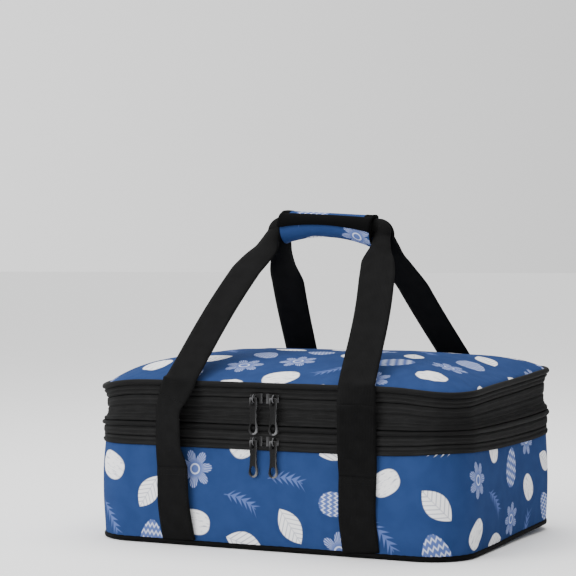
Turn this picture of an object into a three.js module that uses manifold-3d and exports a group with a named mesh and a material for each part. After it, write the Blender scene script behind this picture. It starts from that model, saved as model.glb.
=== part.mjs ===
// Insulated casserole carrier with an expanding upper deck, two coil zips, webbing carry loops and a wrap grip.
// Millimetres, +Z up, -Y is the front, origin at the centre of the base.
import * as THREE from "three";
import { mergeVertices } from "three/addons/utils/BufferGeometryUtils.js";
import Module from "manifold-3d";

const wasm = await Module();
wasm.setup();

// Overall plan of the bag
const WIDTH = 410;
const DEPTH = 300;
const CORNER = 48; // plan radius of the four upright corners
const CORNER_STEPS = 6;
const CORNER_LEAST = 6;
const FIT = 0.3; // gap between pieces that touch

// Lower compartment
const BODY_HEIGHT = 100;
const WALL = 5; // padded wall and floor
const BASE_ROUND = 6;
const BOARD_THICK = 2.5;
const LINING_THICK = 1.2;
const TRIM_HEIGHT = 8;
const TRIM_PROUD = 2.4;

// Zips: a tape each side of the slit, with the coil sewn to its inner face
const TAPE_THICK = 1.2;
const TAPE_LOWER = 8.6; // tape below the slit of the lower zip
const TAPE_UPPER = 9.4; // tape above the slit of the lower zip
const TAPE_LID = 10; // both tapes of the upper zip
const SLIT = 1.6;
const COIL_HEIGHT = 2.4;
const COIL_THICK = 1.6;
const HINGE_HALF = 150; // half the width of the fabric hinge at the back

// Upper deck
const DECK_PIPING = 2.5; // radius
const SEAM_GAP = 2;
const BAND_HEIGHT = 14;
const BAND_THICK = 4;
const FOLD_DROP = 34; // how far the folded wall hangs inside
const FOLD_INSET = 8;
const FOLD_LAYER = 1;

// Lid
const LID_PIPING = 3; // radius
const CROWN = 27;
const CROWN_STEPS = 6;
const CROWN_EDGE = 0.85; // share of the half depth that the crown climbs over
const LID_LINING = 1;

// Webbing
const WEB_WIDTH = 38;
const WEB_THICK = 1.6;
const WEB_X = 100; // centre of each strap on the front and back
const SEWN_TOP = 80; // stitch line where the strap comes free

// Grip
const GRIP_Z = 327;
const GRIP_LENGTH = 114;
const GRIP_HALF_Y = 17;
const GRIP_HALF_Z = 16.5;
const PAD_THICK = 3;
const FLAP_THICK = 2.2;
const HOOK_THICK = 0.5;
const GRIP_STEP = 15; // degrees between the points of the wrap's section
const GRIP_WEB = 2 * (GRIP_HALF_Z - PAD_THICK) - 1.4; // the webbing is folded narrower and fills the grip

// Zip sliders and pulls
const SLIDER_X = 11; // each bail's distance from the centre when the zip is shut
const SLIDER_LENGTH = 13;
const SLIDER_HEIGHT = 9.6;
const SLIDER_INWARD = 2; // the plates reach this much further to the middle than the bail
const PLATE_THICK = 1.7;
const PLATE_GAP = 0.5;
const BAIL_REACH = 3.4;
const BAIL_RADIUS = 0.75;
const PULL_OUT = 4.2; // pull's middle plane in front of the tape
const PULL_THICK = 1.6;
const PULL_LENGTH = 37;

// Heights, stacked from the floor up
const zBoard = WALL + FIT;
const zLining = zBoard + BOARD_THICK + FIT;
const zLowerSlit = BODY_HEIGHT + FIT + TAPE_LOWER;
const zDeckTape = zLowerSlit + SLIT;
const zDeckPiping = zDeckTape + TAPE_UPPER + FIT + DECK_PIPING;
const zBand = zDeckPiping + DECK_PIPING + SEAM_GAP;
const zBandTop = zBand + BAND_HEIGHT;
const zUpperSlit = zBandTop + FIT + TAPE_LID;
const zLidTape = zUpperSlit + SLIT;
const zLidEdge = zLidTape + TAPE_LID;
const zLidPiping = zLidEdge + FIT + LID_PIPING;
const zLidPanel = zLidPiping - LID_PIPING / 2;

const bagBlue = { color: 0x2f5597, roughness: 0.75, metalness: 0 };
const blackCloth = { color: 0x1b1b1c, roughness: 0.8, metalness: 0 };
const blackCoil = { color: 0x111112, roughness: 0.5, metalness: 0 };
const foil = { color: 0xb9bcc0, roughness: 0.35, metalness: 0.6 };
const board = { color: 0xd8d8d4, roughness: 0.7, metalness: 0 };
const blackMetal = { color: 0x151516, roughness: 0.3, metalness: 0.8 };

const carrier = new THREE.Group();

function addPart(name, geometry, finish, holder = carrier) {
  const mesh = new THREE.Mesh(geometry, new THREE.MeshStandardMaterial(finish));
  mesh.name = name;
  holder.add(mesh);
  return mesh;
}

// A closed mesh from points and triangles, with its faces turned outwards
function closedGeometry(points, triangles) {
  let volume = 0;
  for (const [a, b, c] of triangles) {
    volume += points[a].dot(new THREE.Vector3().crossVectors(points[b], points[c]));
  }
  const order = volume < 0 ? triangles.map(([a, b, c]) => [a, c, b]) : triangles;
  const geometry = new THREE.BufferGeometry();
  geometry.setAttribute("position", new THREE.Float32BufferAttribute(points.flatMap((p) => [p.x, p.y, p.z]), 3));
  geometry.setIndex(order.flat());
  return geometry;
}

// Points of the bag's rounded-rectangle plan, taken in by inset; an open path leaves out the back's middle
function planPoints(inset, z, open = false) {
  const radius = Math.max(CORNER - inset, CORNER_LEAST);
  const cx = WIDTH / 2 - inset - radius;
  const cy = DEPTH / 2 - inset - radius;
  const corners = [[cx, cy, 90], [cx, -cy, 0], [-cx, -cy, -90], [-cx, cy, 180]];
  const points = [];
  for (const [x, y, from] of corners) {
    for (let k = 0; k <= CORNER_STEPS; k++) {
      const angle = THREE.MathUtils.degToRad(from - (90 * k) / CORNER_STEPS);
      points.push(new THREE.Vector3(x + radius * Math.cos(angle), y + radius * Math.sin(angle), z));
    }
  }
  if (open) {
    points.unshift(new THREE.Vector3(HINGE_HALF + FIT, DEPTH / 2 - inset, z));
    points.push(new THREE.Vector3(-HINGE_HALF - FIT, DEPTH / 2 - inset, z));
  }
  return points;
}

// Quads between rows of points; rows and points may each close on themselves
function quadTriangles(rows, count, closeRows, closeCount) {
  const triangles = [];
  for (let i = 0; i < rows - (closeRows ? 0 : 1); i++) {
    for (let j = 0; j < count - (closeCount ? 0 : 1); j++) {
      const a = i * count + j;
      const b = i * count + ((j + 1) % count);
      const c = ((i + 1) % rows) * count + j;
      const d = ((i + 1) % rows) * count + ((j + 1) % count);
      triangles.push([a, b, d], [a, d, c]);
    }
  }
  return triangles;
}

// A section of [inset, z] corners carried all round the plan
function ringGeometry(section) {
  const rows = section.map(([inset, z]) => planPoints(inset, z));
  return closedGeometry(rows.flat(), quadTriangles(rows.length, rows[0].length, true, true));
}

// The same along the front and sides only, with flat ends at the back hinge
function openRingGeometry(section) {
  const rows = section.map(([inset, z]) => planPoints(inset, z, true));
  const count = rows[0].length;
  const triangles = quadTriangles(rows.length, count, true, false);
  for (let i = 1; i < section.length - 1; i++) {
    const corners = [0, i * count, (i + 1) * count];
    triangles.push(corners, corners.map((index) => index + count - 1).reverse());
  }
  return closedGeometry(rows.flat(), triangles);
}

// A profile of [inset, z] steps that begins and ends in a flat or crowned cap
function shellGeometry(profile) {
  const rows = profile.map(([inset, z]) => planPoints(inset, z));
  const count = rows[0].length;
  const points = rows.flat();
  const triangles = quadTriangles(rows.length, count, false, true);
  const first = points.push(new THREE.Vector3(0, 0, profile[0][1])) - 1;
  const last = points.push(new THREE.Vector3(0, 0, profile.at(-1)[1])) - 1;
  const lastRow = (rows.length - 1) * count;
  for (let j = 0; j < count; j++) {
    const next = (j + 1) % count;
    triangles.push([first, next, j], [last, lastRow + j, lastRow + next]);
  }
  return closedGeometry(points, triangles);
}

// Flat webbing along points; each has its centre, the way its face looks, and its width
function webbingGeometry(stations) {
  const points = [];
  stations.forEach(({ at, face, width }, i) => {
    const before = stations[Math.max(i - 1, 0)].at;
    const after = stations[Math.min(i + 1, stations.length - 1)].at;
    const along = after.clone().sub(before).normalize();
    const across = new THREE.Vector3().crossVectors(along, face).normalize();
    const out = new THREE.Vector3().crossVectors(across, along);
    for (const [side, depth] of [[-1, -1], [1, -1], [1, 1], [-1, 1]]) {
      points.push(at.clone().addScaledVector(across, (side * width) / 2).addScaledVector(out, (depth * WEB_THICK) / 2));
    }
  });
  const triangles = quadTriangles(stations.length, 4, false, true);
  const end = 4 * (stations.length - 1);
  triangles.push([2, 1, 0], [3, 2, 0], [end, end + 1, end + 2], [end, end + 2, end + 3]);
  return closedGeometry(points, triangles);
}

// Boolean join of overlapping closed geometries
function joined(geometries) {
  const solids = geometries.map((geometry) => {
    const bare = geometry.clone();
    bare.deleteAttribute("normal");
    bare.deleteAttribute("uv");
    const merged = mergeVertices(bare, 1e-4);
    return new wasm.Manifold(new wasm.Mesh({
      numProp: 3,
      vertProperties: merged.attributes.position.array,
      triVerts: new Uint32Array(merged.index.array),
    }));
  });
  const mesh = solids.reduce((sum, solid) => sum.add(solid)).getMesh();
  const geometry = new THREE.BufferGeometry();
  geometry.setAttribute("position", new THREE.BufferAttribute(mesh.vertProperties, 3));
  geometry.setIndex(new THREE.BufferAttribute(mesh.triVerts, 1));
  return geometry;
}

// An octagonal bead of piping, as [inset, z] corners round its middle
function beadSection(radius, z) {
  return Array.from({ length: 8 }, (_, k) => {
    const angle = ((k + 0.5) * Math.PI) / 4;
    return [radius * Math.cos(angle), z + radius * Math.sin(angle)];
  });
}

function stripSection(inset, thick, low, high) {
  return [[inset, low], [inset, high], [inset + thick, high], [inset + thick, low]];
}

// Lower compartment: padded shell, board, foil lining and the trim round its base
const liningInset = WALL + FIT;
addPart("body_shell", shellGeometry([
  [BASE_ROUND, 0], [BASE_ROUND / 3, BASE_ROUND / 6], [0, BASE_ROUND],
  [0, BODY_HEIGHT], [WALL, BODY_HEIGHT], [WALL, WALL],
]), bagBlue);
addPart("base_board", shellGeometry([[liningInset, zBoard], [liningInset, zBoard + BOARD_THICK]]), board);
addPart("body_lining", shellGeometry([
  [liningInset, zLining], [liningInset, BODY_HEIGHT - FIT],
  [liningInset + LINING_THICK, BODY_HEIGHT - FIT], [liningInset + LINING_THICK, zLining + LINING_THICK],
]), foil);
addPart("base_trim", ringGeometry([
  [-FIT, BASE_ROUND / 4], [-TRIM_PROUD, TRIM_HEIGHT / 3], [-TRIM_PROUD, TRIM_HEIGHT - 1], [-FIT, TRIM_HEIGHT],
]), blackCloth);

// One zip: tapes below and above the slit, coils behind them, and the fabric hinge across the back
function addZip(name, slit, tapeBelow, tapeAbove, hingeLow, hingeHigh) {
  const top = slit + SLIT;
  const coilInset = TAPE_THICK + FIT;
  addPart(`${name}_tape_lower`, openRingGeometry(stripSection(0, TAPE_THICK, slit - tapeBelow, slit)), blackCloth);
  addPart(`${name}_coil_lower`, openRingGeometry(stripSection(coilInset, COIL_THICK, slit - COIL_HEIGHT, slit)), blackCoil);
  addPart(`${name}_coil_upper`, openRingGeometry(stripSection(coilInset, COIL_THICK, top, top + COIL_HEIGHT)), blackCoil);
  addPart(`${name}_tape_upper`, openRingGeometry(stripSection(0, TAPE_THICK, top, top + tapeAbove)), blackCloth);
  const hinge = new THREE.BoxGeometry(2 * HINGE_HALF, TAPE_THICK, hingeHigh - hingeLow);
  hinge.translate(0, DEPTH / 2 - TAPE_THICK / 2, (hingeLow + hingeHigh) / 2);
  addPart(`${name}_back_hinge`, hinge, blackCloth);
}
addZip("lower_zip", zLowerSlit, TAPE_LOWER, TAPE_UPPER, BODY_HEIGHT + FIT, zDeckTape + TAPE_UPPER);
addZip("upper_zip", zUpperSlit, TAPE_LID, TAPE_LID, zBandTop + FIT, zLidEdge);

// Upper deck: piping on the lower zip, the folded wall, and the padded band under the upper zip
addPart("deck_piping", ringGeometry(beadSection(DECK_PIPING, zDeckPiping)), blackCloth);
const foldTop = zBand - FIT;
const foldSeam = foldTop - FOLD_LAYER;
const foldLow = foldSeam - FOLD_DROP;
const foldIn = FOLD_INSET + 3 * FOLD_LAYER;
addPart("folded_wall", ringGeometry([
  [FOLD_LAYER, foldSeam], [FOLD_INSET, foldSeam], [FOLD_INSET, foldLow], [foldIn, foldLow], [foldIn, foldTop],
  [foldIn - FOLD_LAYER, foldTop], [foldIn - FOLD_LAYER, foldLow + FOLD_LAYER],
  [FOLD_INSET + FOLD_LAYER, foldLow + FOLD_LAYER], [FOLD_INSET + FOLD_LAYER, foldTop], [FOLD_LAYER, foldTop],
]), bagBlue);
addPart("deck_band", ringGeometry(stripSection(0, BAND_THICK, zBand, zBandTop)), blackCloth);

// Lid: crowned padded panel, foil lining under it and piping round its edge
function crownProfile(drop, edgeInset) {
  const reach = CROWN_EDGE * (DEPTH / 2);
  return Array.from({ length: CROWN_STEPS + 1 }, (_, k) => {
    const share = k / CROWN_STEPS;
    const inset = edgeInset + (reach - edgeInset) * (1 - Math.cos((share * Math.PI) / 2));
    return [inset, zLidPanel - drop + CROWN * Math.sin((share * Math.PI) / 2) ** 1.4];
  });
}
const panelInset = LID_PIPING + FIT;
addPart("lid_panel", shellGeometry([...crownProfile(0, panelInset).reverse(), ...crownProfile(WALL, panelInset + FIT)]), bagBlue);
const lidLiningDrop = WALL + 2 * FIT;
addPart("lid_lining", shellGeometry([
  ...crownProfile(lidLiningDrop, panelInset + 2 * FIT).reverse(),
  ...crownProfile(lidLiningDrop + LID_LINING, panelInset + 3 * FIT),
]), foil);
addPart("lid_piping", ringGeometry(beadSection(LID_PIPING, zLidPiping)), blackCloth);

// Straps of one face: sewn stretch, free riser, and the loop that leans to the grip
const outward = new THREE.Vector3(0, -1, 0);
const sewnY = -(DEPTH / 2 + FIT + WEB_THICK / 2);
const riserY = -(DEPTH / 2 + LID_PIPING + FIT + WEB_THICK / 2);
const bendZ = zLidPiping;
const leanBase = new THREE.Vector3(0, riserY + WEB_THICK, zLidPiping + LID_PIPING + 2 * WEB_THICK);
const gripY = -(WEB_THICK / 2 + 1.4);
const turnRadius = GRIP_WEB / 2 + 3;
const turnX = GRIP_LENGTH / 2 + 1;
const leanTop = new THREE.Vector3(0, gripY - 8, GRIP_Z - turnRadius);
const leanFace = new THREE.Vector3(0, -(leanTop.z - leanBase.z), leanTop.y - leanBase.y).normalize();

function upright(x, y, z) {
  return { at: new THREE.Vector3(x, y, z), face: outward, width: WEB_WIDTH };
}

// Half of a carry loop, from the lid's edge to the middle of the grip, on the side given
function halfLoop(side) {
  const stations = [upright(side * WEB_X, riserY, bendZ + FIT)];
  const steps = 5;
  for (let k = 0; k <= steps; k++) {
    const share = k / steps;
    const at = leanBase.clone().lerp(leanTop, share);
    at.x = side * THREE.MathUtils.lerp(WEB_X, turnX + turnRadius, share);
    const narrow = THREE.MathUtils.smoothstep(share, 0.75, 1);
    stations.push({ at, face: leanFace, width: THREE.MathUtils.lerp(WEB_WIDTH, GRIP_WEB + 4, narrow) });
  }
  const turns = 4;
  for (let k = 1; k <= turns; k++) {
    const angle = ((k / turns) * Math.PI) / 2;
    const at = new THREE.Vector3(
      side * (turnX + turnRadius * Math.cos(angle)),
      THREE.MathUtils.lerp(leanTop.y, gripY, Math.sin(angle)),
      GRIP_Z - turnRadius + turnRadius * Math.sin(angle),
    );
    stations.push({ at, face: outward, width: THREE.MathUtils.lerp(GRIP_WEB + 4, GRIP_WEB, k / turns) });
  }
  return stations;
}

function addStraps(face, holder) {
  for (const [sideName, side] of [["left", -1], ["right", 1]]) {
    const x = side * WEB_X;
    addPart(`${face}_${sideName}_strap_sewn`, webbingGeometry([
      upright(x, sewnY, TRIM_HEIGHT + FIT), upright(x, sewnY, SEWN_TOP),
    ]), blackCloth, holder);
    addPart(`${face}_${sideName}_strap_riser`, webbingGeometry([
      upright(x, sewnY, SEWN_TOP + FIT), upright(x, riserY, SEWN_TOP + (BODY_HEIGHT - SEWN_TOP) * 0.9),
      upright(x, riserY, bendZ),
    ]), blackCloth, holder);
  }
  addPart(`${face}_carry_loop`, webbingGeometry([...halfLoop(-1), ...halfLoop(1).reverse()]), blackCloth, holder);
}
const frontStraps = new THREE.Group();
const backStraps = new THREE.Group();
backStraps.rotation.z = Math.PI;
carrier.add(frontStraps, backStraps);
addStraps("front", frontStraps);
addStraps("back", backStraps);

// Grip wrap: a layer of the oval section between two angles, run along the grip; 0 degrees is the front, 90 the top
function wrapGeometry(offset, thick, fromDeg, toDeg, length) {
  const steps = Math.ceil((toDeg - fromDeg) / GRIP_STEP);
  const arc = (grow) => Array.from({ length: steps + 1 }, (_, k) => {
    const angle = THREE.MathUtils.degToRad(fromDeg + ((toDeg - fromDeg) * k) / steps);
    return new THREE.Vector2(-(GRIP_HALF_Y + grow) * Math.cos(angle), (GRIP_HALF_Z + grow) * Math.sin(angle));
  });
  const outline = [...arc(offset + thick), ...arc(offset).reverse()];
  const solid = new THREE.ExtrudeGeometry(new THREE.Shape(outline), { depth: length, bevelEnabled: false, steps: 1 });
  solid.applyMatrix4(new THREE.Matrix4().makeBasis(
    new THREE.Vector3(0, 1, 0), new THREE.Vector3(0, 0, 1), new THREE.Vector3(1, 0, 0),
  ));
  solid.translate(-length / 2, 0, GRIP_Z);
  return solid;
}
const PAD_FROM = 95;
const PAD_TO = 410;
const FLAP_FROM = -22;
const FLAP_TO = 110;
const HOOK_FROM = -18;
const HOOK_TO = 27;
const loopOffset = FIT;
const hookOffset = loopOffset + HOOK_THICK + FIT;
const flapOffset = hookOffset + HOOK_THICK + FIT;
const hookLength = GRIP_LENGTH - 14;
addPart("grip_pad", wrapGeometry(-PAD_THICK, PAD_THICK, PAD_FROM, PAD_TO, GRIP_LENGTH), bagBlue);
addPart("grip_flap", wrapGeometry(flapOffset, FLAP_THICK, FLAP_FROM, FLAP_TO, GRIP_LENGTH), bagBlue);
addPart("grip_loop_strip", wrapGeometry(loopOffset, HOOK_THICK, HOOK_FROM, HOOK_TO, hookLength), blackCloth);
addPart("grip_hook_strip", wrapGeometry(hookOffset, HOOK_THICK, HOOK_FROM, HOOK_TO, hookLength), blackCloth);

// Zip slider: plates before and behind the tapes, the post in the slit, and the bail for the pull; local y looks out
function plateGeometry(low, thick) {
  const half = SLIDER_LENGTH / 2;
  const nose = SLIDER_HEIGHT / 2;
  const tail = nose * 0.72;
  const shape = new THREE.Shape();
  shape.moveTo(-half, -nose);
  shape.quadraticCurveTo(0, -nose, half, -tail);
  shape.lineTo(half, tail);
  shape.quadraticCurveTo(0, nose, -half, nose);
  const plate = new THREE.ExtrudeGeometry(shape, { depth: thick, bevelEnabled: false, steps: 1, curveSegments: 5 });
  plate.translate(-SLIDER_INWARD, 0, low);
  return plate;
}

function sliderGeometry() {
  const front = plateGeometry(PLATE_GAP, PLATE_THICK);
  const behind = TAPE_THICK + FIT + COIL_THICK + PLATE_GAP;
  const back = plateGeometry(-behind - PLATE_THICK, PLATE_THICK);
  const postReach = behind + PLATE_GAP + PLATE_THICK;
  const post = new THREE.BoxGeometry(SLIDER_LENGTH / 3, SLIT - 2 * FIT, postReach);
  post.translate(-SLIDER_LENGTH / 4 - SLIDER_INWARD, 0, postReach / 2 - behind - PLATE_THICK / 2);
  const foot = PLATE_GAP + PLATE_THICK / 2;
  const crown = PULL_OUT + PULL_THICK + BAIL_RADIUS;
  const bailPath = new THREE.CatmullRomCurve3([
    new THREE.Vector3(0, BAIL_REACH, foot), new THREE.Vector3(0, BAIL_REACH, PULL_OUT),
    new THREE.Vector3(0, 0, crown),
    new THREE.Vector3(0, -BAIL_REACH, PULL_OUT), new THREE.Vector3(0, -BAIL_REACH, foot),
  ]);
  const section = new THREE.Shape();
  section.absarc(0, 0, BAIL_RADIUS, 0, 2 * Math.PI);
  const bail = new THREE.ExtrudeGeometry(section, { extrudePath: bailPath, steps: 12, curveSegments: 4 });
  return joined([front, back, post, bail]);
}

// Pull: a slotted head that hangs on the bail, a waist, and a finger loop
function pullGeometry() {
  const bar = PULL_THICK / 2;
  const head = 3.8;
  const waist = 3;
  const foot = 5;
  const low = bar - PULL_LENGTH;
  const headEnd = -9;
  const shape = new THREE.Shape();
  shape.moveTo(-head, bar);
  shape.lineTo(head, bar);
  shape.lineTo(head, headEnd);
  shape.bezierCurveTo(waist, headEnd - 5, waist, low + 14, foot, low + foot + 3);
  shape.absarc(0, low + foot, foot, 0, -Math.PI, true);
  shape.bezierCurveTo(-waist, low + 14, -waist, headEnd - 5, -head, headEnd);
  const slot = new THREE.Path();
  const slotHalf = 1.9;
  const slotLow = -bar - 6.4;
  slot.moveTo(-slotHalf, -bar);
  slot.lineTo(-slotHalf, slotLow);
  slot.lineTo(slotHalf, slotLow);
  slot.lineTo(slotHalf, -bar);
  const eye = new THREE.Path();
  eye.absellipse(0, low + foot + 1.6, foot - 2, foot, 0, 2 * Math.PI);
  shape.holes.push(slot, eye);
  const pull = new THREE.ExtrudeGeometry(shape, { depth: PULL_THICK, bevelEnabled: false, steps: 1, curveSegments: 5 });
  pull.translate(0, 0, PULL_OUT - PULL_THICK / 2);
  return pull;
}

for (const [zip, slit] of [["upper", zUpperSlit], ["lower", zLowerSlit]]) {
  for (const [sideName, side] of [["left", -1], ["right", 1]]) {
    const place = new THREE.Group();
    place.position.set(side * SLIDER_X, -DEPTH / 2, slit + SLIT / 2);
    place.rotation.x = Math.PI / 2;
    carrier.add(place);
    const slider = sliderGeometry();
    if (side < 0) slider.rotateX(Math.PI).rotateY(Math.PI);
    addPart(`${zip}_${sideName}_slider`, slider, blackMetal, place);
    addPart(`${zip}_${sideName}_pull`, pullGeometry(), blackMetal, place);
  }
}

export default carrier;
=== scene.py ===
import bmesh
import bpy
import math
import numpy as np
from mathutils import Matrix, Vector


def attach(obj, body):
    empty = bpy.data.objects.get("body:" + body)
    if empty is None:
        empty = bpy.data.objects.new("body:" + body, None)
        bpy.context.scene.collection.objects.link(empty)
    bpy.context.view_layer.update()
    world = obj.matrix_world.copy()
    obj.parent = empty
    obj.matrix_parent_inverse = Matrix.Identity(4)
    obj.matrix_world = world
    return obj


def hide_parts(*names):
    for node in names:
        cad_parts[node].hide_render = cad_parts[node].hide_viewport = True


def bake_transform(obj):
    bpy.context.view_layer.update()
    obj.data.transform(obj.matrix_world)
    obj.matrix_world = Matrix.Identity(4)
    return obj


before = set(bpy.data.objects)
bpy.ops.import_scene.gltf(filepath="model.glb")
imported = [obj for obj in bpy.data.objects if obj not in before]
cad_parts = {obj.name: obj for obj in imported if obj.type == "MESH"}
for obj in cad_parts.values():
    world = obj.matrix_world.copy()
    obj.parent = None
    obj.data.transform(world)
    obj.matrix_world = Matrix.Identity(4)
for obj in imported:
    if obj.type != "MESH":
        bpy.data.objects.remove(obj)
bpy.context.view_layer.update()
mm = 0.001

# plan of the bag in millimetres, as in the solids; the front is -Y
plan = {"wide": 410, "deep": 300, "corner": 48, "hingeHalf": 150}
# the padding stands a little fuller at the right of the back
fullerLook = {"at": (200, 112), "spread": 42, "out": 4}


def planTable():
    halfX, halfY, r = plan["wide"] / 2, plan["deep"] / 2, plan["corner"]
    pts, normals = [(0, -halfY)], [(0, -1)]
    corners = [(1, -1, -90), (1, 1, 0), (-1, 1, 90), (-1, -1, 180)]
    steps = 40
    for sideX, sideY, start in corners:
        for k in range(steps + 1):
            a = math.radians(start + 90 * k / steps)
            pts.append((sideX * (halfX - r) + r * math.cos(a), sideY * (halfY - r) + r * math.sin(a)))
            normals.append((math.cos(a), math.sin(a)))
    pts.append((0, -halfY))
    normals.append((0, -1))
    pts, normals = np.array(pts, float), np.array(normals, float)
    run = np.concatenate([[0], np.cumsum(np.linalg.norm(np.diff(pts, axis=0), axis=1))])
    return pts, normals, run


planPts, planNormals, planRun = planTable()
girth = planRun[-1]


def planAt(s):
    # place and outward direction at a distance s along the outline from the middle of the front
    s = np.mod(np.asarray(s, float), girth)
    at = np.stack([np.interp(s, planRun, planPts[:, k]) for k in (0, 1)], -1)
    out = np.stack([np.interp(s, planRun, planNormals[:, k]) for k in (0, 1)], -1)
    out = out / np.linalg.norm(out, axis=-1, keepdims=True)
    apart = np.sum((at - np.array(fullerLook["at"])) ** 2, axis=-1)
    near = np.exp(-apart / (2 * fullerLook["spread"] ** 2))
    return at + out * (fullerLook["out"] * near)[..., None], out


def zipEnd():
    return girth / 2 - plan["hingeHalf"]


def wave(s, t, seed):
    # smooth unevenness from a few fixed sines, about -1 to 1
    total = 0
    for k in range(4):
        along = 0.021 * (1.7 ** k) * (1 + 0.13 * seed) * s + 1.9 * seed + k
        across = 0.043 * (1.5 ** k) * t + 0.7 * seed * k
        total = total + np.sin(along) * np.cos(across) / (k + 1)
    return total / 1.6


def easeIn(value, low, high):
    t = np.clip((value - low) / (high - low), 0, 1)
    return t * t * (3 - 2 * t)


def smoothLoop(points, times=2):
    pts = np.array(points, float)
    for _ in range(times):
        after = np.roll(pts, -1, axis=0)
        pts = np.stack([0.75 * pts + 0.25 * after, 0.25 * pts + 0.75 * after], 1).reshape(-1, 2)
    return pts


def circleLoop(out, z, radius, count=14):
    a = np.linspace(0, 2 * math.pi, count, endpoint=False)
    return np.stack([out + radius * np.cos(a), z + radius * np.sin(a)], 1)


# how the soft corners of the bag lean: middle and spread in plan, then the lift
leanLook = {
    "lidFront": ((-203, -130, 24, 45, -7.5), (197, -135, 27, 62, -5.2)),
    "lidRear": ((197, 137, 40, 62, 7.0),),
    "wall": ((193, -135, 28, 50, 3.8), (206, 150, 20, 40, 5.5)),
    "foot": ((206, 150, 34, 95, 6.5),),
}
# heights between which each lean comes in or goes out
leanHeights = {
    "lid": (104, 160), "crown": (166, 184), "wall": (55, 100), "foot": (10, 95), "crownKeeps": 0.3,
}


def leant(points):
    x, y, z = points[..., 0], points[..., 1], points[..., 2]
    upper = easeIn(z, *leanHeights["lid"])
    crown = 1 - (1 - leanHeights["crownKeeps"]) * easeIn(z, *leanHeights["crown"])
    shares = {
        "lidFront": upper * crown,
        "lidRear": upper,
        "wall": easeIn(z, *leanHeights["wall"]) * (1 - upper),
        "foot": 1 - easeIn(z, *leanHeights["foot"]),
    }
    moved = points.copy()
    for part, corners in leanLook.items():
        for atX, atY, spreadX, spreadY, lift in corners:
            near = np.exp(-((x - atX) / spreadX) ** 2 / 2 - ((y - atY) / spreadY) ** 2 / 2)
            moved[..., 2] += lift * near * shares[part]
    return moved


def addObject(name, data):
    made = bpy.data.objects.new(name, data)
    bpy.context.scene.collection.objects.link(made)
    return made


def gridPiece(name, points, uv, material, closeRows=False, closeCols=False, cap=False, lean=True):
    # points: rows x cols x 3 in mm; uv has one more row or column where the grid closes
    points = leant(points) if lean else points
    rows, cols = points.shape[:2]
    verts = [tuple(p) for p in (points.reshape(-1, 3) * mm)]
    faces, corners = [], []
    for i in range(rows if closeRows else rows - 1):
        for j in range(cols if closeCols else cols - 1):
            i2, j2 = (i + 1) % rows, (j + 1) % cols
            faces.append((i * cols + j, i * cols + j2, i2 * cols + j2, i2 * cols + j))
            corners += [uv[i, j], uv[i, j + 1], uv[i + 1, j + 1], uv[i + 1, j]]
    if cap:
        for row, turn in ((0, -1), (rows - 1, 1)):
            faces.append(tuple(row * cols + j for j in range(cols))[::turn])
            corners += [uv[row, j] for j in range(cols)][::turn]
    mesh = bpy.data.meshes.new(name)
    mesh.from_pydata(verts, [], faces)
    layer = mesh.uv_layers.new(name="clothUv")
    layer.data.foreach_set("uv", (np.array(corners, float) * mm).ravel())
    mesh.polygons.foreach_set("use_smooth", [len(face) == 4 for face in faces])
    mesh.materials.append(material)
    mesh.update()
    return faceOut(addObject(name, mesh))


def faceOut(piece):
    mesh = piece.data
    volume = 0.0
    for poly in mesh.polygons:
        a, b, c = (mesh.vertices[k].co for k in poly.vertices[:3])
        volume += a.dot(b.cross(c)) * (2 if len(poly.vertices) == 4 else 1)
    if volume < 0:
        mesh.flip_normals()
    return piece


bandLook = {
    "uneven": 0.22, "recess": 2.4,
    "cave": 1.2, "caveFrom": (95, 150), "caveZ": (131, 158), "caveEase": 5,
}


def sunk(s, z):
    # the soft upper band caves in towards the corners, away from the zip sliders
    along = np.abs(np.mod(np.asarray(s, float) + girth / 2, girth) - girth / 2)
    z, (low, high), ease = np.asarray(z, float), bandLook["caveZ"], bandLook["caveEase"]
    height = np.clip((z - low) / ease, 0, 1) * np.clip((high - z) / ease, 0, 1)
    return bandLook["cave"] * easeIn(along, *bandLook["caveFrom"]) * height


def bandPiece(name, section, material, closed=True, uneven=0.0, seed=1, step=5, lean=True):
    # carries a closed section of (out, z) points round the outline, or along the zip's run only
    section = np.asarray(section, float)
    if closed:
        s = np.linspace(-girth / 2, girth / 2, int(girth / step), endpoint=False)
    else:
        s = np.linspace(-zipEnd(), zipEnd(), int(2 * zipEnd() / step))
    at, out = planAt(s)
    shift = uneven * wave(s[:, None], section[None, :, 1] * 6, seed)
    lift = 0.6 * uneven * wave(s, 40, seed + 3)[:, None]
    reach = section[None, :, 0] + shift - sunk(s[:, None], section[None, :, 1])
    points = np.zeros((len(s), len(section), 3))
    points[:, :, :2] = at[:, None] + out[:, None] * reach[:, :, None]
    points[:, :, 2] = section[None, :, 1] + lift
    ring = np.vstack([section, section[:1]])
    around = np.concatenate([[0], np.cumsum(np.linalg.norm(np.diff(ring, axis=0), axis=1))])
    along = np.append(s, girth / 2) if closed else s
    uv = np.stack(np.meshgrid(along, around, indexing="ij"), -1)
    return gridPiece(name, points, uv, material, closed, True, not closed, lean)


def keep(piece, body, slotName, *nodes):
    if body:
        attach(piece, body)
    if nodes:
        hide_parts(*nodes)
    return piece


def weldPoints(piece):
    # joins the points that a grid closes on, and gives the rest back in mm
    joined = bmesh.new()
    joined.from_mesh(piece.data)
    bmesh.ops.remove_doubles(joined, verts=joined.verts, dist=1e-6)
    joined.to_mesh(piece.data)
    joined.free()
    return np.array([vertex.co for vertex in piece.data.vertices]) / mm


clothLook = {"frames": 20, "steps": 6, "tension": 12, "shear": 5, "bending": 0.4, "mass": 0.3}


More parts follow.
